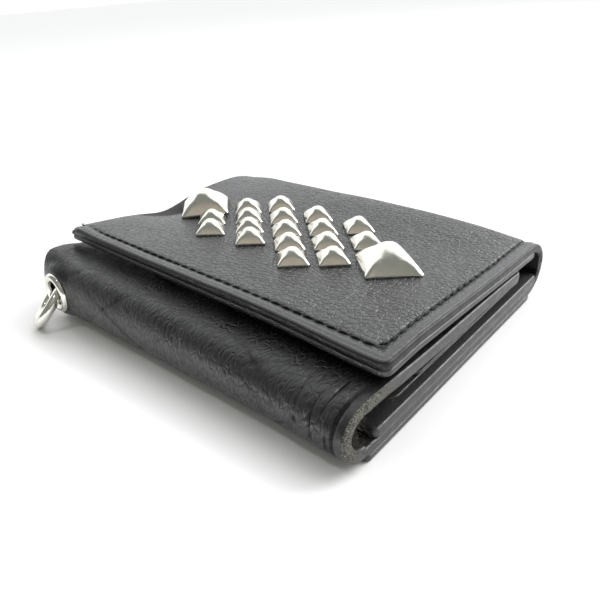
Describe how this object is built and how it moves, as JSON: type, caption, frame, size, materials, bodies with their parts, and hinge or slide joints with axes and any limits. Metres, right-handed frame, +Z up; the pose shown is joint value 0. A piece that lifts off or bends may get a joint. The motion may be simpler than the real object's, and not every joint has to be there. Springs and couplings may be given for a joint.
{
  "type": "chain wallet",
  "caption": "Compact black leather flap wallet with pyramid studs, a folded body, and an eyelet with a ring for a chain.",
  "frame": {"origin": "middle of the face that the closed wallet lies on, on the underside of the slip pocket", "axes": "+X along the folds from the eyelet end to the open right end, +Y from the near fold to the far fold, +Z up through the studded flap"},
  "size_m": [0.1012, 0.0876, 0.0246],
  "materials": {
    "grain_leather": "pebbled black cowhide, satin",
    "lining_leather": "smooth black lining leather, matt",
    "nickel": "polished nickel plate, lightly worn",
    "plain_steel": "plain hidden steel"
  },
  "bodies": {
    "back": {"back_leather": "grain_leather", "back_slip_pocket": "grain_leather", "bill_lining": "lining_leather", "card_pocket_1": "lining_leather", "card_pocket_2": "lining_leather"},
    "far_fold": {"far_fold_leather": "grain_leather", "far_fold_lining": "lining_leather"},
    "flap": {"flap_leather": "grain_leather", "flap_lining": "lining_leather", "snap_cap": "plain_steel", "snap_socket": "nickel", "stud_large_1": "nickel", "stud_large_2": "nickel", "stud_small_1_1": "nickel", "stud_small_1_2": "nickel", "stud_small_2_1": "nickel", "stud_small_2_2": "nickel", "stud_small_2_3": "nickel", "stud_small_2_4": "nickel", "stud_small_3_1": "nickel", "stud_small_3_2": "nickel", "stud_small_3_3": "nickel", "stud_small_3_4": "nickel", "stud_small_3_5": "nickel", "stud_small_4_1": "nickel", "stud_small_4_2": "nickel", "stud_small_4_3": "nickel", "stud_small_4_4": "nickel", "stud_small_5_1": "nickel", "stud_small_5_2": "nickel"},
    "near_fold": {"near_fold_leather": "grain_leather", "eyelet": "nickel", "eyelet_washer": "plain_steel"},
    "front": {"front_leather": "grain_leather", "front_lining": "lining_leather", "coin_pocket": "lining_leather", "snap_stud": "nickel", "snap_rivet_cap": "plain_steel"},
    "ring": {"chain_ring": "nickel"}
  },
  "joints": [
    {"name": "far_fold_crease", "type": "hinge", "parent": "back", "child": "far_fold", "pos_m": [0, 0.0395, 0.0035], "axis": [-1, 0, 0], "range_deg": [0, 87]},
    {"name": "flap_crease", "type": "hinge", "parent": "far_fold", "child": "flap", "pos_m": [0, 0.0395, 0.0146], "axis": [-0.9988, 0, 0.0494], "range_deg": [0, 87]},
    {"name": "near_fold_crease", "type": "hinge", "parent": "back", "child": "near_fold", "pos_m": [0, -0.0344, 0.0025], "axis": [1, 0, 0], "range_deg": [0, 4.35]},
    {"name": "front_crease", "type": "hinge", "parent": "near_fold", "child": "front", "pos_m": [0, -0.0344, 0.0143], "axis": [0.9988, 0, -0.0494], "range_deg": [0, 30.45]},
    {"name": "ring_turn", "type": "hinge", "parent": "near_fold", "child": "ring", "pos_m": [-0.04588, -0.03998, 0.00596], "axis": [-0.4498, -0.5908, 0.6698], "continuous": true}
  ],
  "couplings": [
    {"joint": "flap_crease", "follows": "far_fold_crease", "ratio": 1},
    {"joint": "near_fold_crease", "follows": "far_fold_crease", "ratio": 0.05},
    {"joint": "front_crease", "follows": "far_fold_crease", "ratio": 0.35}
  ]
}
